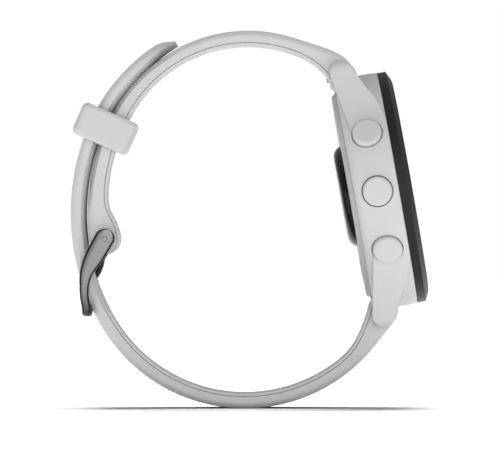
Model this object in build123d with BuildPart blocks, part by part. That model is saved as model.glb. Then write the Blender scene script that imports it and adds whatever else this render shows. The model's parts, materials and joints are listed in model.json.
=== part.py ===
"""GPS running watch on a buckled silicone strap, standing on the strap, display facing +X.

Millimetres, +Z up. The origin lies under the middle of the whole watch, on the surface it stands on.
"""
import os
from math import cos, radians, sin

from build123d import *

os.makedirs("parts", exist_ok=True)

# ---------------------------------------------------------------- driving dimensions
TILT = 10.0                      # the display looks up by this many degrees
BACK_CENTRE = (18.25, 0.0, 38.98)  # middle of the case back face
CASE_TOP = 9.0                   # height of the bezel line above the back face
BEZEL_R = 21.5
BEZEL_WALL_TOP = 10.6
BEZEL_TOP = 11.4
GLASS_R, GLASS_BOTTOM, GLASS_TOP = 19.7, 10.35, 11.5
SEAT_R, SEAT_U = 18.8, 10.15     # ledge that the glass rests on
CAVITY_R = 17.8
COVER_R, COVER_TOP = 19.15, 1.35
WINDOW_R, WINDOW_FLANGE_R, WINDOW_PROUD = 9.4, 10.4, 1.5

STRAP_WIDTH = 20.0
STRAP_THICK = 2.75
LUG_GAP = 20.5                   # between the inner faces of a pair of lugs
BAR_V, BAR_U = 21.8, 2.5         # spring bar, from the dial axis and from the back face
KNOB_R = 2.75                    # rounded strap end around a spring bar
POCKET_R = 3.1

BUTTON_U = 5.1
BUTTON_R = 2.72
BUTTON_TRAVEL = 0.6
BUTTON_ANGLES = {"start_button": 30, "back_button": -30, "light_button": 150, "up_button": 180, "down_button": 210}
HEAD_INNER, HEAD_TOP = 20.3, 22.35   # distances from the dial axis
RECESS_R, RECESS_FLOOR = 2.87, 19.3
STEM_R, STEM_END = 1.0, 17.05
CLIP_BOTTOM, CLIP_TOP = 17.37, 17.59
SWITCH_FACE = STEM_END - BUTTON_TRAVEL - 0.05

# Points on the strap are given by their distance from an arc's centre and their angle above -X.
# Outer face of the strap with the holes: three tangent arcs that meet at these angles.
ARC_1_CENTRE = (-0.94, 30.59)
ARC_RADII = (30.59, 41.39, 34.03)
ARC_ANGLES = (-151.0, -29.49, 20.46, 54.96)
TAPER_ANGLE = 40.5               # the tail starts to thin here
TAIL_OUT, TAIL_IN = (-14.07, 67.3), (-13.6, 66.4)
# Inner face of the strap with the buckle: two tangent arcs from the buckle up and over.
BUCKLE_CENTRE = (5.87, 37.72)
BUCKLE_RADII = (32.15, 24.51)
BUCKLE_ANGLES = (-10.6, 35.32, 128.0)

PIN = (-26.7, 31.12)            # buckle pin, in X and Z
BULB_R = 2.85
PIN_R = 0.55
ARM_INNER, ARM_OUTER = 10.5, 12.4
KEEPER_CENTRE = (7.2, 36.8)      # the keeper slides round this point
KEEPER_ANGLE = 23.4
KEEPER_IN, KEEPER_OUT = 31.4, 42.35
WINDOW_IN, WINDOW_OUT = 33.4, 40.15
KEEPER_LENGTH, KEEPER_WIDTH = 6.25, 23.6
TANG_THICK, TANG_WIDTH = 1.0, 2.0
HOLE_LONG, HOLE_WIDE = 3.8, 2.6

SCREW_PLACES = [(16.6 * cos(radians(a)), 16.6 * sin(radians(a))) for a in (52, 128, 232, 308)]

NORMAL = Vector(cos(radians(TILT)), 0, sin(radians(TILT)))
THREE = Vector(0, 1, 0)
TWELVE = Vector(-sin(radians(TILT)), 0, cos(radians(TILT)))
DIAL = Plane(origin=BACK_CENTRE, x_dir=THREE, z_dir=NORMAL)
SIDE = Plane.XZ


# ---------------------------------------------------------------- helpers
def save(piece, label):
    """Label a finished piece and write its STEP file."""
    piece.part.label = label
    export_step(piece.part, f"parts/{label}.step")


def turning(origin, across, along):
    """Plane for a turned profile: x is the radius and y runs along the axis."""
    return Plane(origin=origin, x_dir=across, z_dir=across.cross(along))


MERIDIAN = turning(DIAL.origin, THREE, NORMAL)
DIAL_AXIS = Axis(DIAL.origin, NORMAL)


def radial(angle):
    """Unit vector from the dial axis at an angle from three o'clock."""
    return THREE * cos(radians(angle)) + TWELVE * sin(radians(angle))


def button_frame(angle):
    """Turned-profile plane and axis of the button at an angle round the case."""
    origin = DIAL.origin + NORMAL * BUTTON_U
    along = radial(angle)
    return turning(origin, NORMAL, along), Axis(origin, along)


def disc(radius, bottom, top, hole=0.0):
    """Disc or ring about the dial axis between two heights."""
    with BuildPart() as piece:
        with BuildSketch(DIAL.offset(bottom)):
            Circle(radius)
            if hole:
                Circle(hole, mode=Mode.SUBTRACT)
        extrude(amount=top - bottom)
    return piece


def bar_origin(side):
    """Middle of the spring bar at twelve (side +1) or six o'clock (side -1)."""
    return DIAL.origin + TWELVE * (side * BAR_V) + NORMAL * BAR_U


def spring(start, along, radius, wire, pitch, length):
    """Round-wire helical spring from a point along a direction."""
    with BuildPart() as piece:
        with BuildLine() as path:
            Helix(pitch=pitch, height=length, radius=radius, center=start, direction=along)
        with BuildSketch(Plane(origin=path.line @ 0, z_dir=path.line % 0)):
            Circle(wire)
        sweep(is_frenet=True)
    return piece


# ---------------------------------------------------------------- case
with BuildPart() as lug:
    with BuildSketch(DIAL.offset(-0.5)):
        with BuildLine():
            wall = TangentArc((18.03, 11.71), (13.2, 23.0), tangent=(-0.545, 0.839))
            corner = TangentArc(wall @ 1, (11.3, 24.8), tangent=wall % 1)
            Polyline(corner @ 1, (LUG_GAP / 2, 24.9), (LUG_GAP / 2, 9), (16, 9), wall @ 0)
        make_face()
    extrude(amount=10)
    with BuildSketch(Plane(origin=DIAL.origin, x_dir=TWELVE, z_dir=THREE)):
        with BuildLine():
            foot = Line((9, 2.75), (22.5, 0.31))
            tip = ThreePointArc(foot @ 1, (24.8, 2.4), (23.75, 4.22))
            front = Line(tip @ 1, (19.1, 6.5))
            shoulder = ThreePointArc(front @ 1, (16.3, 8.05), (13.0, 8.95))
            Polyline(shoulder @ 1, (9, 8.95), foot @ 0)
        make_face()
    extrude(amount=30, mode=Mode.INTERSECT)

with BuildPart() as case_middle:
    with BuildSketch(MERIDIAN):
        with BuildLine():
            step = Polyline((15, 1.4), (19.3, 1.4), (19.3, 0.85))
            bevel = ThreePointArc(step @ 1, (20.45, 1.15), (21.05, 2.0))
            flank = ThreePointArc(bevel @ 1, (21.65, 5.6), (BEZEL_R, CASE_TOP))
            Polyline(flank @ 1, (15, CASE_TOP), step @ 0)
        make_face()
    revolve(axis=DIAL_AXIS)
    add(lug.part)
    add(mirror(lug.part, about=Plane.XZ, mode=Mode.PRIVATE))
    for piece in (lug.part, mirror(lug.part, about=Plane.XZ, mode=Mode.PRIVATE)):
        add(mirror(piece, about=Plane(origin=DIAL.origin, z_dir=TWELVE), mode=Mode.PRIVATE))
    with BuildSketch(DIAL.offset(-1)):
        Circle(CAVITY_R)
    extrude(amount=CASE_TOP + 2, mode=Mode.SUBTRACT)
    with BuildSketch(DIAL.offset(-1)):
        Circle(COVER_R + 0.15)
    extrude(amount=2.4, mode=Mode.SUBTRACT)
    with BuildSketch(DIAL.offset(1.4)):
        with Locations(*SCREW_PLACES):
            Circle(1.5)
    extrude(amount=4.6)
    with BuildSketch(DIAL.offset(1.4)):
        with Locations(*SCREW_PLACES):
            Circle(0.55)
    extrude(amount=3.6, mode=Mode.SUBTRACT)
    for side in (1, -1):
        with BuildSketch(Plane(origin=bar_origin(side), x_dir=TWELVE * side, z_dir=THREE)):
            Circle(POCKET_R)
            with Locations((4, 0)):
                Rectangle(8, 2 * POCKET_R)
            with Locations(((8 - POCKET_R) / 2, -3 * side)):
                Rectangle(8 + POCKET_R, 6)
        extrude(amount=LUG_GAP / 2, both=True, mode=Mode.SUBTRACT)
        with BuildSketch(Plane(origin=bar_origin(side), x_dir=TWELVE, z_dir=THREE)):
            Circle(0.55)
        extrude(amount=11.8, both=True, mode=Mode.SUBTRACT)
    for angle in BUTTON_ANGLES.values():
        plane, axis = button_frame(angle)
        with BuildSketch(plane):
            with BuildLine():
                Polyline((0, 16), (1.05, 16), (1.05, 18.3), (1.65, 18.3), (1.65, 18.9), (1.05, 18.9),
                         (1.05, RECESS_FLOOR), (RECESS_R, RECESS_FLOOR), (RECESS_R, 24), (0, 24), close=True)
            make_face()
        revolve(axis=axis, mode=Mode.SUBTRACT)
save(case_middle, "case_middle")

with BuildPart() as bezel_ring:
    with BuildSketch(MERIDIAN):
        with BuildLine():
            Polyline((SEAT_R, CASE_TOP), (BEZEL_R, CASE_TOP), (BEZEL_R, BEZEL_WALL_TOP), (GLASS_R + 0.15, BEZEL_TOP),
                     (GLASS_R + 0.05, BEZEL_TOP), (GLASS_R + 0.05, SEAT_U), (SEAT_R, SEAT_U), close=True)
        make_face()
    revolve(axis=DIAL_AXIS)
save(bezel_ring, "bezel_ring")

cover_glass = disc(GLASS_R, GLASS_BOTTOM, GLASS_TOP)
cover_glass.part = chamfer(cover_glass.part.faces().sort_by(Axis(DIAL.origin, NORMAL))[-1].edges(), 0.15)
save(cover_glass, "cover_glass")
save(disc(GLASS_R - 0.05, SEAT_U, GLASS_BOTTOM, hole=SEAT_R + 0.05), "display_gasket")
save(disc(18.7, 9.1, 10.0, hole=17.45), "antenna_ring")
save(disc(17.2, 9.05, 10.3), "display_panel")

with BuildPart() as chassis:
    with BuildSketch(DIAL.offset(6.3)):
        Circle(16.2)
    extrude(amount=0.6)
    with BuildSketch(DIAL.offset(3.0)):
        RectangleRounded(24, 18, 2.6)
        RectangleRounded(22.4, 16.4, 1.8, mode=Mode.SUBTRACT)
    extrude(amount=3.3)
save(chassis, "chassis")

with BuildPart() as battery:
    with BuildSketch(DIAL.offset(2.0)):
        RectangleRounded(22, 16, 1.5)
    extrude(amount=4.2)
    fillet(battery.edges().filter_by(lambda e: e.length > 14), radius=0.6)
save(battery, "battery")

with BuildPart() as battery_foam:
    with BuildSketch(DIAL.offset(1.6)):
        RectangleRounded(20, 14, 1)
    extrude(amount=0.4)
save(battery_foam, "battery_foam")

with BuildPart() as main_board:
    with BuildSketch(DIAL.offset(6.95)):
        Circle(16.0)
        with Locations((-11, 11), (11, 11)):
            Circle(0.6, mode=Mode.SUBTRACT)
    extrude(amount=0.7)
save(main_board, "main_board")

with BuildPart() as shield_cans:
    for x, y, wide, deep in ((-5.5, 4, 10, 9), (6, 4, 9, 9), (0, -7.5, 14, 6)):
        with BuildSketch(DIAL.offset(7.65)):
            with Locations((x, y)):
                Rectangle(wide, deep)
        extrude(amount=1.1)
        with BuildSketch(DIAL.offset(7.65)):
            with Locations((x, y)):
                Rectangle(wide - 0.5, deep - 0.5)
        extrude(amount=0.85, mode=Mode.SUBTRACT)
save(shield_cans, "shield_cans")

with BuildPart() as display_flex:
    with BuildSketch(DIAL.offset(7.65)):
        with Locations((0, -15.3)):
            Rectangle(6, 2.2)
    extrude(amount=0.15)
    with BuildSketch(DIAL.offset(7.65)):
        with Locations((0, -16.3)):
            Rectangle(6, 0.2)
    extrude(amount=1.4)
save(display_flex, "display_flex")

# ---------------------------------------------------------------- vibration motor and beeper
MOTOR = DIAL.from_local_coords((-6, 13.2, 4.4))
with BuildPart() as motor_can:
    with BuildSketch(Plane(origin=MOTOR, x_dir=TWELVE, z_dir=THREE)):
        Circle(1.9)
    extrude(amount=7)
    with BuildSketch(Plane(origin=MOTOR, x_dir=TWELVE, z_dir=THREE)):
        Circle(0.4)
    extrude(amount=7, mode=Mode.SUBTRACT)
save(motor_can, "motor_can")

with BuildPart() as motor_axle:
    with BuildSketch(Plane(origin=MOTOR + THREE * 0.5, x_dir=TWELVE, z_dir=THREE)):
        Circle(0.35)
    extrude(amount=10.4)
save(motor_axle, "motor_axle")

with BuildPart() as rotor_weight:
    with BuildSketch(Plane(origin=MOTOR + THREE * 7.6, x_dir=TWELVE, z_dir=THREE)):
        Circle(1.8)
        with Locations((0, 1.3)):
            Rectangle(4, 2, mode=Mode.SUBTRACT)
        Circle(0.7)
        Circle(0.35, mode=Mode.SUBTRACT)
    extrude(amount=2.8)
save(rotor_weight, "rotor_weight")

with BuildPart() as beeper_disc:
    with BuildSketch(DIAL.offset(5.3)):
        with Locations((0, -12.9)):
            Circle(2.9)
    extrude(amount=0.9)
save(beeper_disc, "beeper_disc")

# ---------------------------------------------------------------- back cover and sensor
PORT_V = -13.6
with BuildPart() as back_cover:
    with BuildSketch(MERIDIAN):
        with BuildLine():
            Polyline((WINDOW_R + 0.05, 0), (18.6, 0), (COVER_R, 0.75), (COVER_R, COVER_TOP), (18.8, COVER_TOP),
                     (18.8, 0.95), (18.2, 0.95), (18.2, COVER_TOP), (WINDOW_FLANGE_R + 0.1, COVER_TOP),
                     (WINDOW_FLANGE_R + 0.1, 0.9), (WINDOW_R + 0.05, 0.9), close=True)
        make_face()
    revolve(axis=DIAL_AXIS)
    with BuildSketch(DIAL.offset(-0.1)):
        with Locations((0, PORT_V)):
            RectangleRounded(9.1, 3.5, 1)
    extrude(amount=2, mode=Mode.SUBTRACT)
    with BuildSketch(DIAL.offset(-0.1)):
        with Locations(*SCREW_PLACES):
            Circle(0.6)
    extrude(amount=2, mode=Mode.SUBTRACT)
    with BuildSketch(DIAL.offset(-0.1)):
        with Locations(*SCREW_PLACES):
            Circle(1.25)
    extrude(amount=0.8, mode=Mode.SUBTRACT)
save(back_cover, "back_cover")
save(disc(18.75, 0.97, 1.4, hole=18.25), "back_gasket")

with BuildPart() as back_screws:
    with BuildSketch(DIAL.offset(0.15)):
        with Locations(*SCREW_PLACES):
            Circle(1.2)
    extrude(amount=0.55)
    with BuildSketch(DIAL.offset(0.7)):
        with Locations(*SCREW_PLACES):
            Circle(0.5)
    extrude(amount=3.6)
    with BuildSketch(DIAL.offset(0.15)):
        with Locations(*SCREW_PLACES):
            RegularPolygon(0.6, 6)
    extrude(amount=0.35, mode=Mode.SUBTRACT)
save(back_screws, "back_screws")

with BuildPart() as sensor_window:
    with BuildSketch(MERIDIAN):
        with BuildLine():
            top = Line((0, -WINDOW_PROUD), (7.4, -WINDOW_PROUD))
            dome = ThreePointArc(top @ 1, (8.75, -1.0), (WINDOW_R, 0))
            Polyline(dome @ 1, (WINDOW_R, 0.92), (WINDOW_FLANGE_R, 0.92), (WINDOW_FLANGE_R, 1.5), (7.8, 1.5),
                     (7.8, -0.6), (0, -0.6), top @ 0)
        make_face()
    revolve(axis=DIAL_AXIS)
save(sensor_window, "sensor_window")
save(disc(7.6, 0.4, 1.0), "sensor_board")

LED_PLACES = [(0, 0), (0, 4.2), (0, -4.2), (3.8, 0), (-3.8, 0), (3.2, 3.4), (-3.2, -3.4)]
with BuildPart() as sensor_leds:
    with BuildSketch(DIAL.offset(-0.3)):
        with Locations(*LED_PLACES):
            RectangleRounded(2.0, 2.4, 0.2)
    extrude(amount=0.7)
save(sensor_leds, "sensor_leds")

with BuildPart() as charge_port:
    with BuildSketch(DIAL.offset(0.1)):
        with Locations((0, PORT_V)):
            RectangleRounded(9, 3.4, 0.95)
    extrude(amount=2.1)
    with BuildSketch(DIAL.offset(0.1)):
        with Locations((0, PORT_V)):
            RectangleRounded(7.6, 2.2, 0.6)
    extrude(amount=1.3, mode=Mode.SUBTRACT)
    with BuildSketch(DIAL.offset(0.1)):
        with GridLocations(1.8, 1, 4, 1):
            with Locations((0, PORT_V)):
                Circle(0.4)
    extrude(amount=2.1, mode=Mode.SUBTRACT)
save(charge_port, "charge_port")

with BuildPart() as charge_pins:
    with BuildSketch(DIAL.offset(0.6)):
        with GridLocations(1.8, 1, 4, 1):
            with Locations((0, PORT_V)):
                Circle(0.38)
    extrude(amount=1.9)
save(charge_pins, "charge_pins")

# ---------------------------------------------------------------- buttons, their seals, springs, clips and switches
def button(angle):
    """Domed button head on a stem with a clip groove near its inner end."""
    middle = Plane(origin=DIAL.origin + NORMAL * BUTTON_U, x_dir=NORMAL, z_dir=radial(angle))
    with BuildPart() as piece:
        with BuildSketch(middle.offset(HEAD_INNER)):
            Circle(BUTTON_R)
        extrude(amount=HEAD_TOP - HEAD_INNER)
        fillet(piece.edges().sort_by(Axis(DIAL.origin, radial(angle)))[-1], radius=0.55)
        with BuildSketch(middle.offset(STEM_END)):
            Circle(STEM_R)
        extrude(amount=HEAD_INNER - STEM_END)
        with BuildSketch(middle.offset(CLIP_BOTTOM - 0.02)):
            Circle(STEM_R + 1)
            Circle(0.7, mode=Mode.SUBTRACT)
        extrude(amount=CLIP_TOP - CLIP_BOTTOM + 0.04, mode=Mode.SUBTRACT)
    return piece


def button_clip(angle):
    """Split retaining ring in the stem groove."""
    along = radial(angle)
    origin = DIAL.origin + NORMAL * BUTTON_U + along * CLIP_BOTTOM
    with BuildPart() as piece:
        with BuildSketch(Plane(origin=origin, x_dir=NORMAL, z_dir=along)):
            Circle(1.65)
            Circle(0.72, mode=Mode.SUBTRACT)
            with Locations((1.2, 0)):
                Rectangle(2.0, 1.0, mode=Mode.SUBTRACT)
        extrude(amount=CLIP_TOP - CLIP_BOTTOM)
    return piece


for label, angle in BUTTON_ANGLES.items():
    save(button(angle), label)
    save(button_clip(angle), label.replace("button", "clip"))
    along = radial(angle)
    seat = DIAL.origin + NORMAL * BUTTON_U + along * (RECESS_FLOOR + 0.17)
    save(spring(seat, along, 1.9, 0.13, 0.33, 0.66), label.replace("button", "spring"))

with BuildPart() as button_seals:
    for angle in BUTTON_ANGLES.values():
        plane, axis = button_frame(angle)
        with BuildSketch(plane):
            with Locations((STEM_R + 0.33, 18.6)):
                Circle(0.28)
        revolve(axis=axis)
save(button_seals, "button_seals")


def switch_strip(middle, spread):
    """Curved flexible strip that carries the switches of one side."""
    with BuildPart() as piece:
        with BuildSketch(turning(DIAL.origin, radial(middle - spread), NORMAL)):
            with Locations((14.65, 5.2)):
                Rectangle(0.3, 2.1)
        revolve(axis=DIAL_AXIS, revolution_arc=2 * spread)
    return piece


save(switch_strip(180, 38), "left_switch_strip")
save(switch_strip(0, 38), "right_switch_strip")

with BuildPart() as button_switches:
    for angle in BUTTON_ANGLES.values():
        along = radial(angle)
        origin = DIAL.origin + NORMAL * 5.2 + along * 14.85
        with BuildSketch(Plane(origin=origin, x_dir=NORMAL, z_dir=along)):
            Rectangle(1.9, 3.2)
        extrude(amount=SWITCH_FACE - 14.85 - 0.3)
        with BuildSketch(Plane(origin=origin + NORMAL * 0.3, x_dir=NORMAL, z_dir=along)):
            Circle(0.6)
        extrude(amount=SWITCH_FACE - 14.85)
save(button_switches, "button_switches")

# ---------------------------------------------------------------- strap with the adjustment holes
def polar(centre, radius, angle):
    """Point in X and Z at a distance from a centre and an angle above -X."""
    return (centre[0] - radius * cos(radians(angle)), centre[1] + radius * sin(radians(angle)))


def bend(centre, radius, start, end):
    """Arc about a centre between two angles above -X."""
    return ThreePointArc(*(polar(centre, radius, a) for a in (start, (start + end) / 2, end)))


def along_strap(centre, radius, angle):
    """Plane on the strap: x runs along it, z points away from the arc's centre."""
    x, z = polar(centre, radius, angle)
    out = Vector(-cos(radians(angle)), 0, sin(radians(angle)))
    return Plane(origin=(x, 0, z), x_dir=Vector(0, 1, 0).cross(out), z_dir=out)


ARC_2_CENTRE = polar(ARC_1_CENTRE, ARC_RADII[0] - ARC_RADII[1], ARC_ANGLES[1])
ARC_3_CENTRE = polar(ARC_2_CENTRE, ARC_RADII[1] - ARC_RADII[2], ARC_ANGLES[2])
ARCS = list(zip((ARC_1_CENTRE, ARC_2_CENTRE, ARC_3_CENTRE), ARC_RADII, ARC_ANGLES, ARC_ANGLES[1:]))
TOP_BAR, BOTTOM_BAR = bar_origin(1), bar_origin(-1)


def near(point, reach):
    """Test for sketch vertices within a reach of a point given in X and Z."""
    return lambda v: (Vector(v.X, v.Y, 0) - Vector(point[0], point[1], 0)).length < reach


def bar_bore(bar, slot_y):
    """Solid to cut away for a spring bar and the slot that its release lever slides in."""
    with BuildPart() as piece:
        with BuildSketch(Plane(origin=bar, x_dir=NORMAL, z_dir=THREE)):
            Circle(1.0)
        extrude(amount=STRAP_WIDTH, both=True)
        with BuildSketch(Plane(origin=bar, x_dir=THREE, z_dir=NORMAL * -1)):
            with Locations((slot_y, 0)):
                SlotOverall(3.4, 1.2)
        extrude(amount=5)
    return piece.part


bottom_bore, top_bore = bar_bore(BOTTOM_BAR, -5.6), bar_bore(TOP_BAR, 5.6)

with BuildPart() as hole_strap:
    with BuildSketch(SIDE):
        with BuildLine():
            outer = [bend(centre, radius, start, end) for centre, radius, start, end in ARCS]
            for centre, radius, start, end in ARCS[:2]:
                bend(centre, radius - STRAP_THICK, start, end)
            inner = bend(ARC_3_CENTRE, ARC_RADII[2] - STRAP_THICK, ARC_ANGLES[2], TAPER_ANGLE)
            TangentArc(inner @ 1, TAIL_IN, tangent=inner % 1)
            Line(TAIL_IN, TAIL_OUT)
            TangentArc(outer[2] @ 1, TAIL_OUT, tangent=outer[2] % 1)
            Line(outer[0] @ 0, polar(ARC_1_CENTRE, ARC_RADII[0] - STRAP_THICK, ARC_ANGLES[0]))
        make_face()
        with Locations((BOTTOM_BAR.X, BOTTOM_BAR.Z)):
            Circle(KNOB_R)
    extrude(amount=STRAP_WIDTH / 2, both=True)
    add(bottom_bore, mode=Mode.SUBTRACT)
    steps = [(ARCS[0], -41.8), (ARCS[0], -55.5), (ARCS[0], -69.2)]
    steps += [(ARCS[1], -18.5 + 10 * k) for k in range(-1, 4)] + [(ARCS[2], a) for a in (21.7, 34.0)]
    for (centre, radius, start, end), angle in steps:
        with BuildSketch(along_strap(centre, radius - STRAP_THICK / 2, angle)):
            SlotOverall(HOLE_LONG, HOLE_WIDE)
        extrude(amount=STRAP_THICK, both=True, mode=Mode.SUBTRACT)
    tip = Vector(TAIL_OUT[0], 0, TAIL_OUT[1])
    with BuildSketch(Plane(origin=tip, x_dir=(0.94, 0, 0.34), z_dir=(-0.34, 0, 0.94))):
        with Locations((-4, 0)):
            Rectangle(14, STRAP_WIDTH + 2)
        with Locations((-9.6, 0)):
            Circle(STRAP_WIDTH / 2, mode=Mode.SUBTRACT)
        with Locations((-13.6, 0)):
            Rectangle(8, STRAP_WIDTH, mode=Mode.SUBTRACT)
    extrude(amount=5, both=True, mode=Mode.SUBTRACT)
save(hole_strap, "hole_strap")

# ---------------------------------------------------------------- strap with the buckle
BUCKLE_2_CENTRE = polar(BUCKLE_CENTRE, BUCKLE_RADII[0] - BUCKLE_RADII[1], BUCKLE_ANGLES[1])
with BuildPart() as buckle_strap:
    with BuildSketch(SIDE):
        with BuildLine():
            for extra in (0, STRAP_THICK):
                bend(BUCKLE_CENTRE, BUCKLE_RADII[0] + extra, BUCKLE_ANGLES[0], BUCKLE_ANGLES[1])
                bend(BUCKLE_2_CENTRE, BUCKLE_RADII[1] + extra, BUCKLE_ANGLES[1], BUCKLE_ANGLES[2])
            for centre, radius, angle in ((BUCKLE_CENTRE, BUCKLE_RADII[0], BUCKLE_ANGLES[0]),
                                          (BUCKLE_2_CENTRE, BUCKLE_RADII[1], BUCKLE_ANGLES[2])):
                Line(polar(centre, radius, angle), polar(centre, radius + STRAP_THICK, angle))
        make_face()
        with Locations((TOP_BAR.X, TOP_BAR.Z)):
            Circle(KNOB_R)
        with Locations(PIN):
            Circle(BULB_R)
    extrude(amount=STRAP_WIDTH / 2, both=True)
    add(top_bore, mode=Mode.SUBTRACT)
    with BuildSketch(SIDE):
        with Locations(PIN):
            Circle(PIN_R + 0.1)
    extrude(amount=STRAP_WIDTH, both=True, mode=Mode.SUBTRACT)
    with BuildSketch(SIDE):
        with Locations(PIN):
            Circle(BULB_R + 0.3)
    extrude(amount=1.5, both=True, mode=Mode.SUBTRACT)
save(buckle_strap, "buckle_strap")


# ---------------------------------------------------------------- quick-release spring bars
def bar_pieces(bar, way):
    """Tube, fixed tip, release tip with its lever, and spring of one bar; way is +1 when it releases towards -Y."""
    along = THREE * way
    across = Plane(origin=bar, x_dir=NORMAL, z_dir=along)
    with BuildPart() as tube:
        with BuildSketch(across):
            Circle(0.9)
            Circle(0.58, mode=Mode.SUBTRACT)
        extrude(amount=9.8, both=True)
        with BuildSketch(Plane(origin=bar, x_dir=THREE, z_dir=NORMAL * -1)):
            with Locations((5.6 * way, 0)):
                SlotOverall(3.0, 1.0)
        extrude(amount=2, mode=Mode.SUBTRACT)
    with BuildPart() as fixed:
        with BuildSketch(across.offset(-11.6)):
            Circle(0.5)
        extrude(amount=2.2)
        with BuildSketch(across.offset(-9.6)):
            Circle(0.57)
        extrude(amount=2.1)
    with BuildPart() as release:
        with BuildSketch(across.offset(5.5)):
            Circle(0.53)
        extrude(amount=4.2)
        with BuildSketch(across.offset(9.6)):
            Circle(0.5)
        extrude(amount=2.0)
        with BuildSketch(Plane(origin=bar + along * 6.4, x_dir=THREE, z_dir=NORMAL * -1)):
            Circle(0.42)
        extrude(amount=2.8)
    coil = spring(bar - along * 7.4, along, 0.36, 0.1, 0.8, 12.8)
    return tube, fixed, release, coil


for place, bar, way in (("top", TOP_BAR, 1), ("bottom", BOTTOM_BAR, -1)):
    tube, fixed, release, coil = bar_pieces(bar, way)
    save(tube, f"{place}_bar_tube")
    save(fixed, f"{place}_bar_fixed_tip")
    save(release, f"{place}_bar_release")
    save(coil, f"{place}_bar_spring")

# ---------------------------------------------------------------- keeper, buckle and tang
KEEPER_MIDDLE = (KEEPER_IN + KEEPER_OUT) / 2
with BuildPart() as keeper:
    plane = along_strap(KEEPER_CENTRE, KEEPER_MIDDLE, KEEPER_ANGLE)
    with BuildSketch(Plane(origin=plane.origin, x_dir=plane.z_dir, z_dir=THREE)):
        RectangleRounded(KEEPER_OUT - KEEPER_IN, KEEPER_LENGTH, 1.3)
    extrude(amount=KEEPER_WIDTH / 2, both=True)
    with BuildSketch(Plane(origin=plane.origin, x_dir=plane.z_dir, z_dir=plane.x_dir)):
        with Locations(((WINDOW_IN + WINDOW_OUT) / 2 - KEEPER_MIDDLE, 0)):
            Rectangle(WINDOW_OUT - WINDOW_IN, STRAP_WIDTH + 0.6)
    extrude(amount=KEEPER_LENGTH, both=True, mode=Mode.SUBTRACT)
save(keeper, "keeper")

CROSSBAR = polar(ARC_2_CENTRE, ARC_RADII[1] + 0.93, -24.85)
with BuildPart() as buckle_frame:
    with BuildSketch(SIDE):
        with BuildLine():
            left = Spline((-28.5, 31.6), (-30.7, 27.75), (-31.25, 24.1), (-31.0, 20.0), (-30.55, 17.9))
            right = Spline((-24.95, 30.6), (-26.9, 27.9), (-29.1, 24.7), (-29.6, 22.3), (-28.75, 18.3))
            Line(left @ 0, right @ 0)
            ThreePointArc(left @ 1, (-29.5, 17.1), right @ 1)
        make_face()
        with Locations(PIN):
            Circle(1.85)
    extrude(amount=ARM_OUTER, both=True)
    with BuildSketch(SIDE):
        with Locations(((PIN[0] + CROSSBAR[0]) / 2, (PIN[1] + CROSSBAR[1]) / 2)):
            Rectangle(30, 30)
    extrude(amount=ARM_INNER, both=True, mode=Mode.SUBTRACT)
    plane = along_strap(ARC_2_CENTRE, ARC_RADII[1] + 0.93, -24.85)
    with BuildSketch(Plane(origin=plane.origin, x_dir=plane.z_dir, z_dir=THREE)):
        with Locations((0.1, 0)):
            RectangleRounded(1.7, 2.3, 0.7)
    extrude(amount=ARM_INNER + 0.2, both=True)
    with BuildSketch(Plane(origin=plane.origin, x_dir=plane.z_dir, z_dir=THREE)):
        with Locations((0.7, 0)):
            Rectangle(2.3, 3)
    extrude(amount=1.25, both=True, mode=Mode.SUBTRACT)
    with BuildSketch(SIDE):
        with Locations(PIN):
            Circle(PIN_R)
    extrude(amount=ARM_OUTER, both=True, mode=Mode.SUBTRACT)
save(buckle_frame, "buckle_frame")

with BuildPart() as buckle_pin:
    with BuildSketch(SIDE):
        with Locations(PIN):
            Circle(PIN_R)
    extrude(amount=ARM_OUTER, both=True)
    for way in (1, -1):
        with BuildSketch(SIDE.offset(ARM_OUTER * way)):
            with Locations(PIN):
                Circle(PIN_R)
        extrude(amount=0.15 * way, taper=45)
save(buckle_pin, "buckle_pin")

TANG_POINTS = (PIN, (-27.9, 25.0), (-31.05, 21.2), (-30.15, 17.7))
with BuildPart() as tang:
    with BuildSketch(SIDE):
        with BuildLine():
            FilletPolyline(*TANG_POINTS, radius=1.2)
        trace(line_width=TANG_THICK)
    extrude(amount=TANG_WIDTH / 2, both=True)
    with BuildSketch(SIDE):
        with Locations(PIN):
            Circle(1.7)
    extrude(amount=TANG_WIDTH / 2 + 0.2, both=True)
    with BuildSketch(SIDE):
        with Locations(PIN):
            Circle(PIN_R + 0.1)
    extrude(amount=TANG_WIDTH, both=True, mode=Mode.SUBTRACT)
save(tang, "tang")
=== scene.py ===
"""Looks of a GPS running watch on a silicone strap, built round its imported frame.

Metres, +Z up, the display facing +X. The straps, keeper, buckle and tang are new surfaces; every other
piece is the frame's own and gets its finish here.
"""
import json
from math import cos, pi, radians, sin

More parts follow.
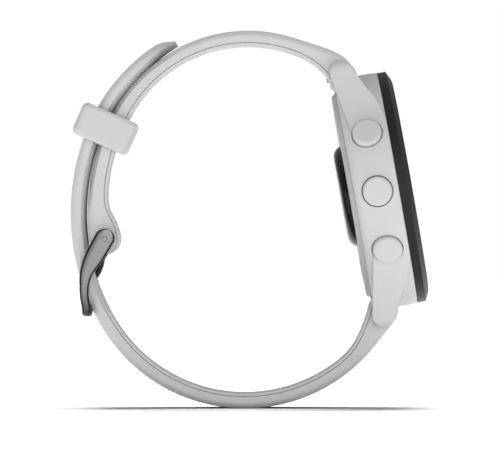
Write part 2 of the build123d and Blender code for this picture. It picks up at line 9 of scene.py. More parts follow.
import bmesh
import bpy
import numpy as np
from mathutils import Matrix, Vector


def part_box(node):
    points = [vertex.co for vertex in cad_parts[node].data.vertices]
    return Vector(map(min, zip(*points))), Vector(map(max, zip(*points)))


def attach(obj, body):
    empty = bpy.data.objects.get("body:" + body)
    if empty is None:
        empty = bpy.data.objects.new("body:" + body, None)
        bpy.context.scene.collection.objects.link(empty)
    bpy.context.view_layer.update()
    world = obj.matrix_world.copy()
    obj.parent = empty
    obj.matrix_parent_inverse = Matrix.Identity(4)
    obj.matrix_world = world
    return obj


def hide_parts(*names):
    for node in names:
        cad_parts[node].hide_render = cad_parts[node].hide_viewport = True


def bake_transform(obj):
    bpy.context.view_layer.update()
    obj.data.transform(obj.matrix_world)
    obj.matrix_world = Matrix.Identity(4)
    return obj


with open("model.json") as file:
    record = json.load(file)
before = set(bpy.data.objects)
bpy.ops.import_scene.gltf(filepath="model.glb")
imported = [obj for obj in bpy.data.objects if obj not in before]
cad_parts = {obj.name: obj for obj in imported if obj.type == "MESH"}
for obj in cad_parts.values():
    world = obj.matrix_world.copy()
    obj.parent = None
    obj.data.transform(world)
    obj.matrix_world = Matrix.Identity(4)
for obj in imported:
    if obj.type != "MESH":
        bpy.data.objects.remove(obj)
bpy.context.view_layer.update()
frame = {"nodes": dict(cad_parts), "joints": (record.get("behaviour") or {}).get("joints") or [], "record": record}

bl_info = {
    "name": "Running watch looks",
    "version": (1, 0, 0),
    "blender": (4, 5, 0),
    "location": "View3D > Sidebar > Watch",
    "description": "Builds the strap, keeper and buckle of a running watch and finishes its parts",
    "category": "Object",
}

MM = 0.001
JOINTS = {joint["name"]: joint for joint in frame["joints"]}
NODE_SLOT = {part["node"]: part["material_slot"] for part in frame["record"]["subparts"]}


def pivot(joint):
    """X and Z of a joint's pivot, in millimetres."""
    place = JOINTS[joint]["pos_m"]
    return np.array([place[0], place[2]]) / MM


TOP_BAR, BOTTOM_BAR, PIN = pivot("buckle_strap_swing"), pivot("hole_strap_swing"), pivot("buckle_swing")
KEEPER_CENTRE = pivot("keeper_slide")

# The straps follow tangent arcs: middle in X and Z, outer radius, and the angle above -X where each begins.
HOLE_ARCS = (((-0.94, 30.59), 30.59, -180.0), ((8.456, 35.912), 41.39, -29.49), ((1.56, 38.485), 34.03, 20.46))
BUCKLE_ARCS = (((5.87, 37.72), 34.90, -180.0), ((-0.364, 42.137), 27.26, 35.32))
HOLE_ANGLES = (-69.2, -55.5, -41.8, -28.5, -18.5, -8.5, 1.5, 11.5, 21.7, 34.0)
TAIL_END = 62.2                   # angle of the tip of the tail
KNOB_R, BULB_R = 2.75, 2.85       # rounded strap ends round a spring bar and round the buckle pin
STRAP_CORNER = 0.85               # how far a strap's outer bevel reaches in
STRAP_SECTION = {"inner_share": 0.35, "lip": 0.2, "bevel": 0.75}
MATE_DEPTH = 3.2                  # times as deep across the strap, where a corner meets the other strap
HOLE_REACH = 31.0                 # radius that turns the hole strap's angles into lengths
# Keeper: its angle above -X at rest; distance of the middle from the arc's centre, and half thickness, for its
# window and its outside; and half the window's width.
KEEPER_ANGLE, WINDOW_AT, OUTSIDE_AT, WINDOW_HALF = 23.4, (36.775, 3.375), (36.875, 5.47), 10.28
SHARP = 38.0                      # faces that meet at more than this many degrees keep a hard edge
CAMERA_HEIGHT, VIEW_WIDTH = 0.0337, 0.0923    # metres above the floor, metres across the picture at the watch
SENSOR = 36.0                     # width of the camera's sensor, in millimetres


# ---------------------------------------------------------------- surfaces
def ease(share):
    """Share from 0 to 1 with level ends: three times its square less twice its cube."""
    return share * share * (3 - 2 * share)


def steady(at, knots, values):
    """Smooth curve through given values: on each span a cubic whose end slopes are the mean of the
    slopes on both sides, or level where the values turn."""
    knots, values = np.asarray(knots, float), np.asarray(values, float)
    order = np.argsort(knots)
    knots, values = knots[order], values[order]
    slope = np.diff(values) / np.diff(knots)
    inner = (slope[1:] + slope[:-1]) / 2 * (slope[1:] * slope[:-1] > 0)
    ends = np.concatenate([[0.0], inner, [0.0]])
    k = np.clip(np.searchsorted(knots, at) - 1, 0, len(slope) - 1)
    width = knots[k + 1] - knots[k]
    t = np.clip((at - knots[k]) / width, 0, 1)
    return ((1 + 2 * t) * (1 - t) ** 2 * values[k] + t * t * (3 - 2 * t) * values[k + 1]
            + width * t * (1 - t) * ((1 - t) * ends[k] - t * ends[k + 1]))


def wide(x, z, y=0.0):
    """Points from X, Z and Y arrays of one shape."""
    x, z = np.broadcast_arrays(np.asarray(x, float), np.asarray(z, float))
    return np.stack([x, np.broadcast_to(np.asarray(y, float), x.shape), z], -1)


def section(levels, inner_share, lip=0.0, bevel=0.0, corner_steps=6, side_steps=3):
    """Ring round a rectangle with rounded corners, as four numbers a point: half width, radius in the
    width, half thickness and radius in the thickness. The inner corners' radius is a share of the outer's.
    A bevel flattens each outer corner's arc by that share towards a straight cut. A lip cuts a groove above
    the inner corner, as deep as that share of the radius, and sets the corner in. Also the corners' mask."""
    g = inner_share
    one = np.ones_like(levels)
    turn = np.linspace(pi / 2, 0, corner_steps + 1)[1:]
    cut = np.linspace(1, 0, corner_steps + 1)[1:]
    in_way = (1 - bevel) * (np.cos(turn) - 1) - bevel * cut
    down_way = (1 - bevel) * (np.sin(turn) - 1) + bevel * (cut - 1)
    top = np.stack([one[0] + 0 * turn, in_way, 1 + 0 * turn, down_way], -1)
    foot = g + 2.2 * lip
    s = np.linspace(1, 0, side_steps + 1)[1:]
    side = np.stack([1 + 0 * s, 0 * s, 2 * s - 1, foot * (1 - s) - s], -1)
    turn = np.linspace(0, -pi / 2, corner_steps + 1)[1:-1]
    cut = np.linspace(0, 1, corner_steps + 1)[1:-1]
    flat_share = 0.0 if lip > 0.05 else bevel
    low = np.stack([1 + 0 * turn, (1 - flat_share) * g * (np.cos(turn) - 1) - flat_share * g * cut - 0.5 * lip,
                    0 * turn - 1, g * (1 - flat_share) * (1 + np.sin(turn)) + flat_share * g * (1 - cut)], -1)
    groove = [[1, -2.2 * lip, -1, g + 1.6 * lip], [1, -0.5 * lip, -1, g + lip],
              [1, -0.5 * lip, -1, g]] if lip else np.zeros((0, 4))
    half = np.concatenate([top, side, groove, low])
    flat = np.stack([levels, -levels, one, 0 * levels], -1)
    under = np.stack([levels, -(g + 0.5 * lip) * levels, -one, 0 * levels], -1)[::-1]
    mirror = half[::-1] * (-1, -1, 1, 1)
    mask = np.concatenate([0 * top[:-1, 0] + 1, [0], 0 * side[:, 0], 0 * np.asarray(groove)[:, 0], 0 * low[:, 0] + 1])
    mask = np.concatenate([0 * levels, mask, 0 * levels, mask[::-1]])
    return np.concatenate([flat, half, under, mirror]), len(flat) + len(half), mask


def solid(name, points, faces, edge=None):
    """Mesh object from points in millimetres and four-sided faces: doubles merged, faces outwards,
    open ends filled, smooth except where neighbours meet sharply. The edge attribute marks bevelled corners and
    any added shade, where a finish can paint a dark reflection."""
    mesh = bpy.data.meshes.new(name)
    mesh.from_pydata((np.asarray(points).reshape(-1, 3) * MM).tolist(), [], np.asarray(faces).tolist())
    if edge is not None:
        mesh.attributes.new("edge", "FLOAT", "POINT").data.foreach_set("value", edge.ravel())
    work = bmesh.new()
    work.from_mesh(mesh)
    bmesh.ops.delete(work, geom=[v for v in work.verts if not v.link_faces], context="VERTS")
    bmesh.ops.remove_doubles(work, verts=work.verts, dist=0.004 * MM)
    bmesh.ops.holes_fill(work, edges=[rim for rim in work.edges if rim.is_boundary], sides=0)
    bmesh.ops.recalc_face_normals(work, faces=work.faces)
    work.to_mesh(mesh)
    work.free()
    mesh.shade_smooth()
    mesh.set_sharp_from_angle(angle=radians(SHARP))
    piece = bpy.data.objects.new(name, mesh)
    bpy.context.scene.collection.objects.link(piece)
    return piece


def loft(name, rib, stations, levels, corner, inner_share=1.0, lip=0.0, bevel=0.0, speed=1.0, holes=(),
         notch=None, shade=0.0, mated=None):
    """Closed surface swept along stations. rib(station) gives the middle, the thickness direction, half
    the thickness, the width direction and half the width; each point is
    middle + thickness direction * depth + width direction * breadth, round a rounded rectangle.
    A hole pulls the grid round it onto a slot outline, |cos|^0.8 by |sin|^0.8, and leaves the cells inside out.
    speed is the millimetres that one unit of station is worth, and shade, a painted dark reflection, is added to the
    edge attribute.
    mated is each station's share of a corner cut MATE_DEPTH times as deep in the width, and its side: -1 is inner."""
    ring, under, mask = section(levels, inner_share, lip, bevel)
    count, across = len(stations), len(levels)
    if mated is not None:
        share, side = mated
        other = section(levels, 0.95, 0.03, bevel)[0] if side < 0 else ring.copy()
        other[:, 1] *= np.where(other[:, 2] * side > 0, MATE_DEPTH, 1.0)
        ring = ring + share[:, None, None] * (other - ring)
    param = np.repeat(stations[:, None], len(mask), 1)
    middle, thick_way, half_thick, width_way, half_width = rib(param)
    radius = np.minimum(np.minimum(corner, half_thick * 0.98), half_width * 0.98)
    breadth = ring[..., 0] * half_width + ring[..., 1] * radius
    depth = ring[..., 2] * half_thick + ring[..., 3] * radius
    column = np.full(len(mask), 999.0)
    column[:across] = np.arange(across)
    column[under:under + across] = np.arange(across)[::-1]
    centre_column = (across - 1) / 2
    gone = np.zeros((count - 1, across - 1), bool)
    cell_i, cell_j = np.arange(count - 1)[:, None] + 0.5, np.arange(across - 1)[None] + 0.5
    for at, cells, half_long, half_wide in holes:
        step_i = (np.arange(count)[:, None] - at) / cells[0]
        step_j = (column[None] - centre_column) / cells[1]
        reach = np.maximum(abs(step_i), abs(step_j))
        turn = np.arctan2(step_j, step_i + 0 * step_j)
        share = np.clip(2 - reach, 0, 1)
        long = np.sign(np.cos(turn)) * half_long * abs(np.cos(turn)) ** 0.8
        over = np.sign(np.sin(turn)) * half_wide * abs(np.sin(turn)) ** 0.8
        param = param + share * (stations[at] + long / speed - param)
        breadth = breadth + share * (over - breadth)
        gone |= (abs(cell_i - at) < cells[0]) & (abs(cell_j - centre_column) < cells[1])
    if holes:
        middle, thick_way, half_thick, width_way, half_width = rib(param)
    if notch:
        gone |= (cell_i < notch[0]) & (abs(cell_j - centre_column) < notch[1])
    points = middle + thick_way * depth[..., None] + width_way * breadth[..., None]
    index = np.arange(count * len(mask)).reshape(count, len(mask))
    after = np.roll(index, -1, 1)
    quads = np.stack([index[:-1], after[:-1], after[1:], index[1:]], -1)
    keep = np.ones((count - 1, len(mask)), bool)
    keep[:, :across - 1] = ~gone
    keep[:, under:under + across - 1] = ~gone[:, ::-1]
    faces = [quads[keep]]
    outer, inner = index[:, :across], index[:, under:under + across][:, ::-1]
    i, j = np.nonzero(gone[:, 1:] != gone[:, :-1])
    faces.append(np.stack([outer[i, j + 1], outer[i + 1, j + 1], inner[i + 1, j + 1], inner[i, j + 1]], -1))
    i, j = np.nonzero(gone[1:] != gone[:-1])
    faces.append(np.stack([outer[i + 1, j], outer[i + 1, j + 1], inner[i + 1, j + 1], inner[i + 1, j]], -1))
    # Edge attribute: bevelled corners plus shade, where a finish with a corner colour paints a dark reflection.
    edge = np.clip(mask + np.broadcast_to(shade, count)[:, None], 0, 1)
    return solid(name, points, np.concatenate(faces), edge)


def arc_place(angle, arcs):
    """Middle and outer radius of the arc at each angle."""
    k = np.digitize(angle, [start for _, _, start in arcs[1:]])
    return np.array([c for c, _, _ in arcs])[k], np.array([r for _, r, _ in arcs])[k]


def polar_place(point, middle):
    """Angle above -X and distance of a point from an arc's middle."""
    x, z = np.asarray(point) - middle
    return np.degrees(np.arctan2(z, -x)), np.hypot(x, z)


def round_end(angle, way, at, distance, radius):
    """Outer and inner radius of a round end beyond its middle: where the ray at that angle meets its circle."""
    off = np.radians(np.clip((angle - at) * way, 0, np.degrees(np.arcsin(radius / distance))))
    half = np.sqrt(np.clip(radius ** 2 - (distance * np.sin(off)) ** 2, 0, None))
    return distance * np.cos(off) + half, distance * np.cos(off) - half


def end_stations(at, way, distance, radius, steps=12):
    """Angles that crowd towards the tip of a round end, so its curve stays even."""
    return at + way * np.degrees(np.arcsin(radius / distance)) * np.sin(np.linspace(pi / 2, 0, steps + 1))[:-1]


def strap_levels(sizes, corner):
    """Places across the strap, as shares of its flat half: half a millimetre apart near the middle."""
    flat = sizes.width / MM / 2 - corner
    mid = np.arange(-6, 7) * 0.5
    side = np.linspace(3, flat, 6)[1:]
    return np.concatenate([-side[::-1], mid, side]) / flat


def strap_rib(arcs, outer_of, inner_of, half_width_of):
    """Rib of a strap: between its outer and inner radius on the ray at each angle, level across."""
    def rib(angle):
        middle, radius = arc_place(angle, arcs)
        ray = np.stack([-np.cos(np.radians(angle)), np.sin(np.radians(angle))], -1)
        outer, inner = outer_of(angle, radius), inner_of(angle, radius)
        place = middle + ray * ((outer + inner) / 2)[..., None]
        return (wide(place[..., 0], place[..., 1]), wide(ray[..., 0], ray[..., 1]), (outer - inner) / 2,
                np.array([0.0, 1.0, 0.0]), half_width_of(angle))
    return rib


def make_hole_strap(sizes):
    """Strap from the six o'clock bar, under the loop and up over the outside, with ten slots and a round tail."""
    thick, half = sizes.thickness / MM, sizes.width / MM / 2
    at, distance = polar_place(BOTTOM_BAR, HOLE_ARCS[0][0])

    def outer(angle, radius):
        run = radius + steady(angle, (at, -151.2, -147, -141, 54.96, 58.5, TAIL_END),
                              (distance + KNOB_R - HOLE_ARCS[0][1], 0.42, 0.16, 0.0, 0.0, -0.25, -1.05))
        return np.where(angle < at, round_end(angle, -1, at, distance, KNOB_R)[0], run)

    def inner(angle, radius):
        run = radius - thick + steady(
            angle, (at, -149.2, -145.8, -142.4, -138.5, -134, -128, 40.5, 51, TAIL_END),
            (distance - KNOB_R - HOLE_ARCS[0][1] + thick, -1.71, -1.34, -0.95, -0.5, -0.15, 0.0, 0.0, 0.22, 0.5))
        return np.where(angle < at, round_end(angle, -1, at, distance, KNOB_R)[1], run)

    def half_width(angle):
        left = np.clip((TAIL_END - angle) * pi / 180 * 32.3, 0, half)
        return np.sqrt(half ** 2 - (half - left) ** 2)

    runs = [end_stations(at, -1, distance, KNOB_R)]
    anchors = [at, -120.0, *HOLE_ANGLES, 46.0]
    places = []
    for begin, end in zip(anchors, anchors[1:]):
        cells = max(12, round(abs(end - begin) * pi / 180 * HOLE_REACH / 0.42))
        places.append(sum(map(len, runs)))
        runs.append(np.linspace(begin, end, cells + 1)[:-1])
    tail = TAIL_END - np.geomspace(TAIL_END - 46.0, 0.004, 60)
    runs.append(np.concatenate([tail, [TAIL_END]]))
    stations = np.concatenate(runs)
    holes = [(places[2 + k], (5, 3), sizes.hole_length / MM / 2, sizes.hole_width / MM / 2)
             for k in range(len(HOLE_ANGLES))]
    rib = strap_rib(HOLE_ARCS, outer, inner, half_width)
    share = ease(np.clip((stations + 32) / 14, 0, 1))
    return loft("hole_strap_silicone", rib, stations, strap_levels(sizes, STRAP_CORNER), STRAP_CORNER,
                **STRAP_SECTION, speed=pi / 180 * HOLE_REACH, holes=holes, mated=(share, -1))


def make_buckle_strap(sizes):
    """Strap from the buckle pin up and over to the twelve o'clock bar, slotted in the middle for the tang."""
    thick, half = sizes.thickness / MM, sizes.width / MM / 2
    top_at, top_distance = polar_place(TOP_BAR, BUCKLE_ARCS[1][0])
    pin_at, pin_distance = polar_place(PIN, BUCKLE_ARCS[0][0])
    low_radius, high_radius = BUCKLE_ARCS[0][1], BUCKLE_ARCS[1][1]

    def blend_ends(angle, run, side):
        low = round_end(angle, -1, pin_at, pin_distance, BULB_R)[side]
        high = round_end(angle, 1, top_at, top_distance, KNOB_R)[side]
        return np.where(angle < pin_at, low, np.where(angle > top_at, high, run))

    def outer(angle, radius):
        run = radius + steady(angle, (pin_at, -7, -3, 1, 10, 20, 35, 45, 56, 106, 112, 117, 123.5, 128.5, top_at),
                              (pin_distance + BULB_R - low_radius, 1.0, 0.88, 0.76, 0.56, 0.44, 0.36, 0.2, 0.0, 0.0,
                               0.1, 0.38, 0.95, 1.25, top_distance + KNOB_R - high_radius))
        return blend_ends(angle, run, 0)

    def inner(angle, radius):
        run = radius - thick + steady(angle, (pin_at, -7.9, -5, -2.2, 0.5, 3.5, 8, 112, 118, 123.7, 129.8, top_at),
                                      (pin_distance - BULB_R - low_radius + thick, -1.59, -1.06, -0.42, -0.12,
                                       -0.02, 0.0, 0.0, -0.1, -0.42, -1.05,
                                       top_distance - KNOB_R - high_radius + thick))
        return blend_ends(angle, run, 1)

    stations = np.concatenate([end_stations(pin_at, -1, pin_distance, BULB_R), np.linspace(pin_at, -4.8, 9)[:-1],
                               np.linspace(-4.8, top_at, 190), end_stations(top_at, 1, top_distance, KNOB_R)[::-1]])
    share = np.clip((62 - stations) / 14, 0, 1) * np.clip((stations + 2) / 8, 0, 1)
    rib = strap_rib(BUCKLE_ARCS, outer, inner, lambda angle: np.full(np.shape(angle), half))
    return loft("buckle_strap_silicone", rib, stations, strap_levels(sizes, STRAP_CORNER), STRAP_CORNER,
                **STRAP_SECTION, notch=(20, 3), mated=(share, 1))


def make_keeper(sizes):
    """Loop of silicone round both straps. A rounded-rectangle path round the window carries a wall whose
    section is a rounded rectangle, window + outward * depth, as deep as the gap to the outer outline."""
    turn = np.linspace(0, 2 * pi, 121)[:-1]
    power = 0.16
    lift = np.sign(np.sin(turn)) * abs(np.sin(turn)) ** power
    reach = np.sign(np.cos(turn)) * abs(np.cos(turn)) ** power
    window = np.stack([WINDOW_AT[0] + lift * WINDOW_AT[1], reach * WINDOW_HALF], -1)
    outside = np.stack([OUTSIDE_AT[0] + lift * OUTSIDE_AT[1], reach * sizes.keeper_width / MM / 2], -1)
    wall = outside - window
    deep = np.linalg.norm(wall, axis=-1)
    out = wall / deep[:, None]
    half = sizes.keeper_length / MM / 2
    ring, _, _ = section(np.linspace(-1, 1, 9), 0.4, corner_steps=7)
    radius = np.minimum(sizes.keeper_corner / MM, deep[:, None] / 2 * 0.98)
    length = ring[:, 0] * half + ring[:, 1] * radius
    depth = deep[:, None] / 2 * (1 + ring[:, 2]) + ring[:, 3] * radius
    place = window[:, None] + out[:, None] * depth[..., None]
    angle = radians(KEEPER_ANGLE)
    ray, along = np.array([-cos(angle), sin(angle)]), np.array([sin(angle), cos(angle)])
    flat = KEEPER_CENTRE + place[..., :1] * ray + length[..., None] * along
    points = wide(flat[..., 0], flat[..., 1], place[..., 1])
    index = np.arange(points.shape[0] * points.shape[1]).reshape(points.shape[:2])
    on, over = np.roll(index, -1, 0), np.roll(index, -1, 1)
    faces = np.stack([index, over, np.roll(on, -1, 1), on], -1).reshape(-1, 4)
    return solid("keeper_silicone", points, faces)


def arm_line(share):
    """Middle of a buckle arm in the side view, its half depth and its outward direction, from pin to crossbar."""
    knots = (0, 0.28, 0.55, 0.84, 1)
    left = np.stack([steady(share, knots, v) for v in ((-28.3, -30.5, -31.3, -31.15, -30.6),
                                                       (32.05, 27.7, 23.9, 20.0, 18.1))], -1)
    right = np.stack([steady(share, knots, v) for v in ((-25.1, -27.05, -29.05, -29.6, -29.1),
                                                        (30.35, 27.1, 24.2, 21.0, 17.9))], -1)
    across = left - right
    depth = np.linalg.norm(across, axis=-1)
    return (left + right) / 2, depth / 2, across / depth[..., None]


def make_buckle(sizes):
    """Bent and bevelled steel frame. A path runs down one arm, round a corner, along the crossbar and back up;
    the section is a rounded rectangle, deeper in the arms, with a dip for the tang in the middle of the bar."""
    arm_y, corner, boss_r = 11.45, 2.2, 1.85
    steps = np.linspace(0, 1, 40)
    turn = np.linspace(0, pi / 2, 16)[1:]
    length = 14.6
    down = np.concatenate([steps * (length - corner), length - corner + corner * np.sin(turn)])
    over = np.concatenate([0 * steps + arm_y, arm_y - corner * (1 - np.cos(turn))])
    bar = np.linspace(arm_y - corner, corner - arm_y, 90)[1:-1]
    down = np.concatenate([down, 0 * bar + length, down[::-1]])
    over = np.concatenate([over, bar, -over[::-1]])
    tip = np.sin(np.linspace(pi / 2, 0, 14))[:-1] * boss_r
    down = np.concatenate([-tip, down, -tip[::-1]])
    over = np.concatenate([0 * tip + arm_y, over, 0 * tip - arm_y])
    middle, depth, outward = arm_line(np.clip(down / length, 0, 1))
    first = arm_line(np.array([0.0, 0.02]))
    back = first[0][0] - first[0][1]
    back = back / np.linalg.norm(back)
    middle = middle + np.clip(-down, 0, None)[:, None] * back
    boss = np.sqrt(np.clip(boss_r ** 2 - down ** 2, 0, None))
    in_bar = ease(np.clip((down - length + corner) / corner, 0, 1))
    dip = ease(np.clip((1.9 - abs(over)) / 0.6, 0, 1) * in_bar)
    half_depth = np.where(down < 0, boss, depth) * (1 - in_bar) + 0.85 * in_bar
    middle = middle + outward * (0.1 * in_bar - 0.62 * dip)[:, None]
    half_depth = half_depth * (1 - dip) + 0.22 * dip
    points = wide(middle[:, 0], middle[:, 1], over)
    along = np.gradient(points, axis=0)
    along /= np.linalg.norm(along, axis=-1)[:, None] + 1e-12
    thick = wide(outward[:, 0], outward[:, 1])
    sideways = np.cross(along, thick)
    sideways /= np.linalg.norm(sideways, axis=-1)[:, None]
    flat_way = np.array([0.0, 1.0, 0.0])
    sideways = np.where((down < 1.0)[:, None], flat_way * np.sign(sideways[:, 1:2]), sideways)
    half_wide = 0.95 * (1 - in_bar) + 1.1 * in_bar

    def rib(param):
        k = np.rint(param).astype(int)
        return points[k], thick[k], half_depth[k], sideways[k], half_wide[k]

    # Painted dark reflection: the edge attribute grows towards the crossbar end, so the finish darkens it there.
    painted_dark_reflection = np.clip((down - 9.0) / (length - 9.0), 0, 1) ** 1.5 * 0.85
    return loft("buckle_loop", rib, np.arange(len(down), dtype=float), np.linspace(-1, 1, 5), 0.42, bevel=0.7,
                shade=painted_dark_reflection)


def make_tang(sizes):
    """Bent steel tongue: a rounded rectangle carried from its eye on the pin down to its tip in a strap hole."""
    share = np.linspace(0, 1, 90)
    knots = (0, 0.2, 0.45, 0.62, 0.75, 0.88, 1)
    x = steady(share, knots, (PIN[0], -27.1, -28.0, -29.6, -30.75, -30.72, -30.2))
    z = steady(share, knots, (PIN[1], 28.2, 25.0, 23.0, 21.4, 19.6, 17.85))
    points = wide(x, z)
    along = np.gradient(points, axis=0)
    along /= np.linalg.norm(along, axis=-1)[:, None]
    thick = np.cross(np.array([0.0, 1.0, 0.0]), along)
    run = np.cumsum(np.concatenate([[0], np.linalg.norm(np.diff(points, axis=0), axis=-1)]))
    left = run[-1] - run
    half_thick = 0.5 * np.sqrt(np.clip(1 - (1 - np.clip(left / 0.5, 0, 1)) ** 2, 0, 1))
    half_wide = steady(run, (0, 1.8, 3.5, run[-1]), (1.2, 1.2, 1.0, 0.85))

    def rib(param):
        k = np.rint(param).astype(int)
        return points[k], thick[k], half_thick[k], np.array([0.0, 1.0, 0.0]), half_wide[k]

    return loft("tang_tongue", rib, np.arange(len(x), dtype=float), np.linspace(-1, 1, 5), 0.35)


def make_tang_eye(sizes):
    """Eye of the tongue round the pin: a turned ring whose section is a rounded rectangle."""
    turn = np.linspace(0, 2 * pi, 61)[:-1]
    ring, _, _ = section(np.linspace(-1, 1, 5), 1.0)
    half_wide, half_deep, middle, corner = 1.2, 0.5, 1.18, 0.25
    breadth = ring[:, 0] * half_wide + ring[:, 1] * corner
    depth = middle + ring[:, 2] * half_deep + ring[:, 3] * corner
    x = PIN[0] + np.cos(turn)[:, None] * depth
    z = PIN[1] + np.sin(turn)[:, None] * depth
    points = wide(x, z, breadth[None] + 0 * x)
    index = np.arange(x.size).reshape(x.shape)
    on = np.roll(index, -1, 0)
    faces = np.stack([index, np.roll(index, -1, 1), np.roll(on, -1, 1), on], -1).reshape(-1, 4)
    return solid("tang_eye", points, faces)


# ---------------------------------------------------------------- finishes
def linear(code):
    """Linear colour from an sRGB hex value."""
    value = np.array([int(code.lstrip("#")[k:k + 2], 16) / 255 for k in (0, 2, 4)])
    low = value / 12.92
    return (*np.where(value <= 0.04045, low, ((value + 0.055) / 1.055) ** 2.4).tolist(), 1.0)


def add(tree, kind, settings=None, **inputs):
    """Add a node, set its properties and its inputs; an input that is an output socket is linked."""
    node = tree.nodes.new(kind)
    for key, value in (settings or {}).items():
        setattr(node, key, value)
    for key, value in inputs.items():
        numbered = key[0] == "i" and key[1:].isdigit()
        socket = node.inputs[int(key[1:]) if numbered else key.replace("_", " ")]
        if isinstance(value, bpy.types.NodeSocket):
            tree.links.new(value, socket)
        else:
            socket.default_value = value
    return node


def finish_of(name, light, dark, grain, bump, rough, metal=0.0, stretch=(1, 1, 1), edge=0.0, spread=0.5,
              corner=None, **shader):
    """Finish with a mottled colour and roughness. grain is the pattern's size and bump its height, both in
    millimetres; stretch draws it out along an axis; edge rounds hard corners by that many millimetres; corner is
    the colour of a painted dark reflection, mixed in where the edge attribute is set."""
    material = bpy.data.materials.new(name)
    material.use_nodes = True
    tree = material.node_tree
    tree.nodes.clear()
    place = add(tree, "ShaderNodeTexCoord").outputs["Object"]
    scaled = add(tree, "ShaderNodeMapping", Vector=place, Scale=tuple(k / (grain * MM) for k in stretch))
    fine = add(tree, "ShaderNodeTexNoise", Vector=scaled.outputs[0], Scale=1.0, Detail=3.0, Roughness=0.6)
    broad = add(tree, "ShaderNodeTexNoise", Vector=place, Scale=1 / (9 * MM), Detail=2.0)
    mottle = add(tree, "ShaderNodeMath", {"operation": "MULTIPLY_ADD"}, i0=fine.outputs["Fac"], i1=spread)
    tree.links.new(broad.outputs["Fac"], mottle.inputs[2])
    share = add(tree, "ShaderNodeMapRange", i0=mottle.outputs[0], i1=0.3 + spread * 0.3, i2=0.7 + spread * 0.7)
    colour = add(tree, "ShaderNodeMix", {"data_type": "RGBA"}, i0=share.outputs[0])
    colour.inputs[6].default_value, colour.inputs[7].default_value = linear(dark), linear(light)
    # Painted dark reflection: the colour turns towards corner where the edge attribute is set.
    if corner:
        band = add(tree, "ShaderNodeAttribute", {"attribute_name": "edge"}).outputs["Fac"]
        toned = add(tree, "ShaderNodeMix", {"data_type": "RGBA"}, i0=band)
        tree.links.new(colour.outputs[2], toned.inputs[6])
        toned.inputs[7].default_value = linear(corner)
        colour = toned
    gloss = add(tree, "ShaderNodeMapRange", i0=fine.outputs["Fac"], i1=0.3, i2=0.7, i3=rough[0], i4=rough[1])
    relief = add(tree, "ShaderNodeBump", Height=fine.outputs["Fac"], Strength=1.0, Distance=bump * MM)
    if edge:
        soft = add(tree, "ShaderNodeBevel", {"samples": 4}, Radius=edge * MM)
        tree.links.new(soft.outputs[0], relief.inputs["Normal"])
    surface = add(tree, "ShaderNodeBsdfPrincipled", Base_Color=colour.outputs[2], Roughness=gloss.outputs[0],
                  Normal=relief.outputs[0], Metallic=metal, **shader)
    add(tree, "ShaderNodeOutputMaterial", Surface=surface.outputs[0])
    return material


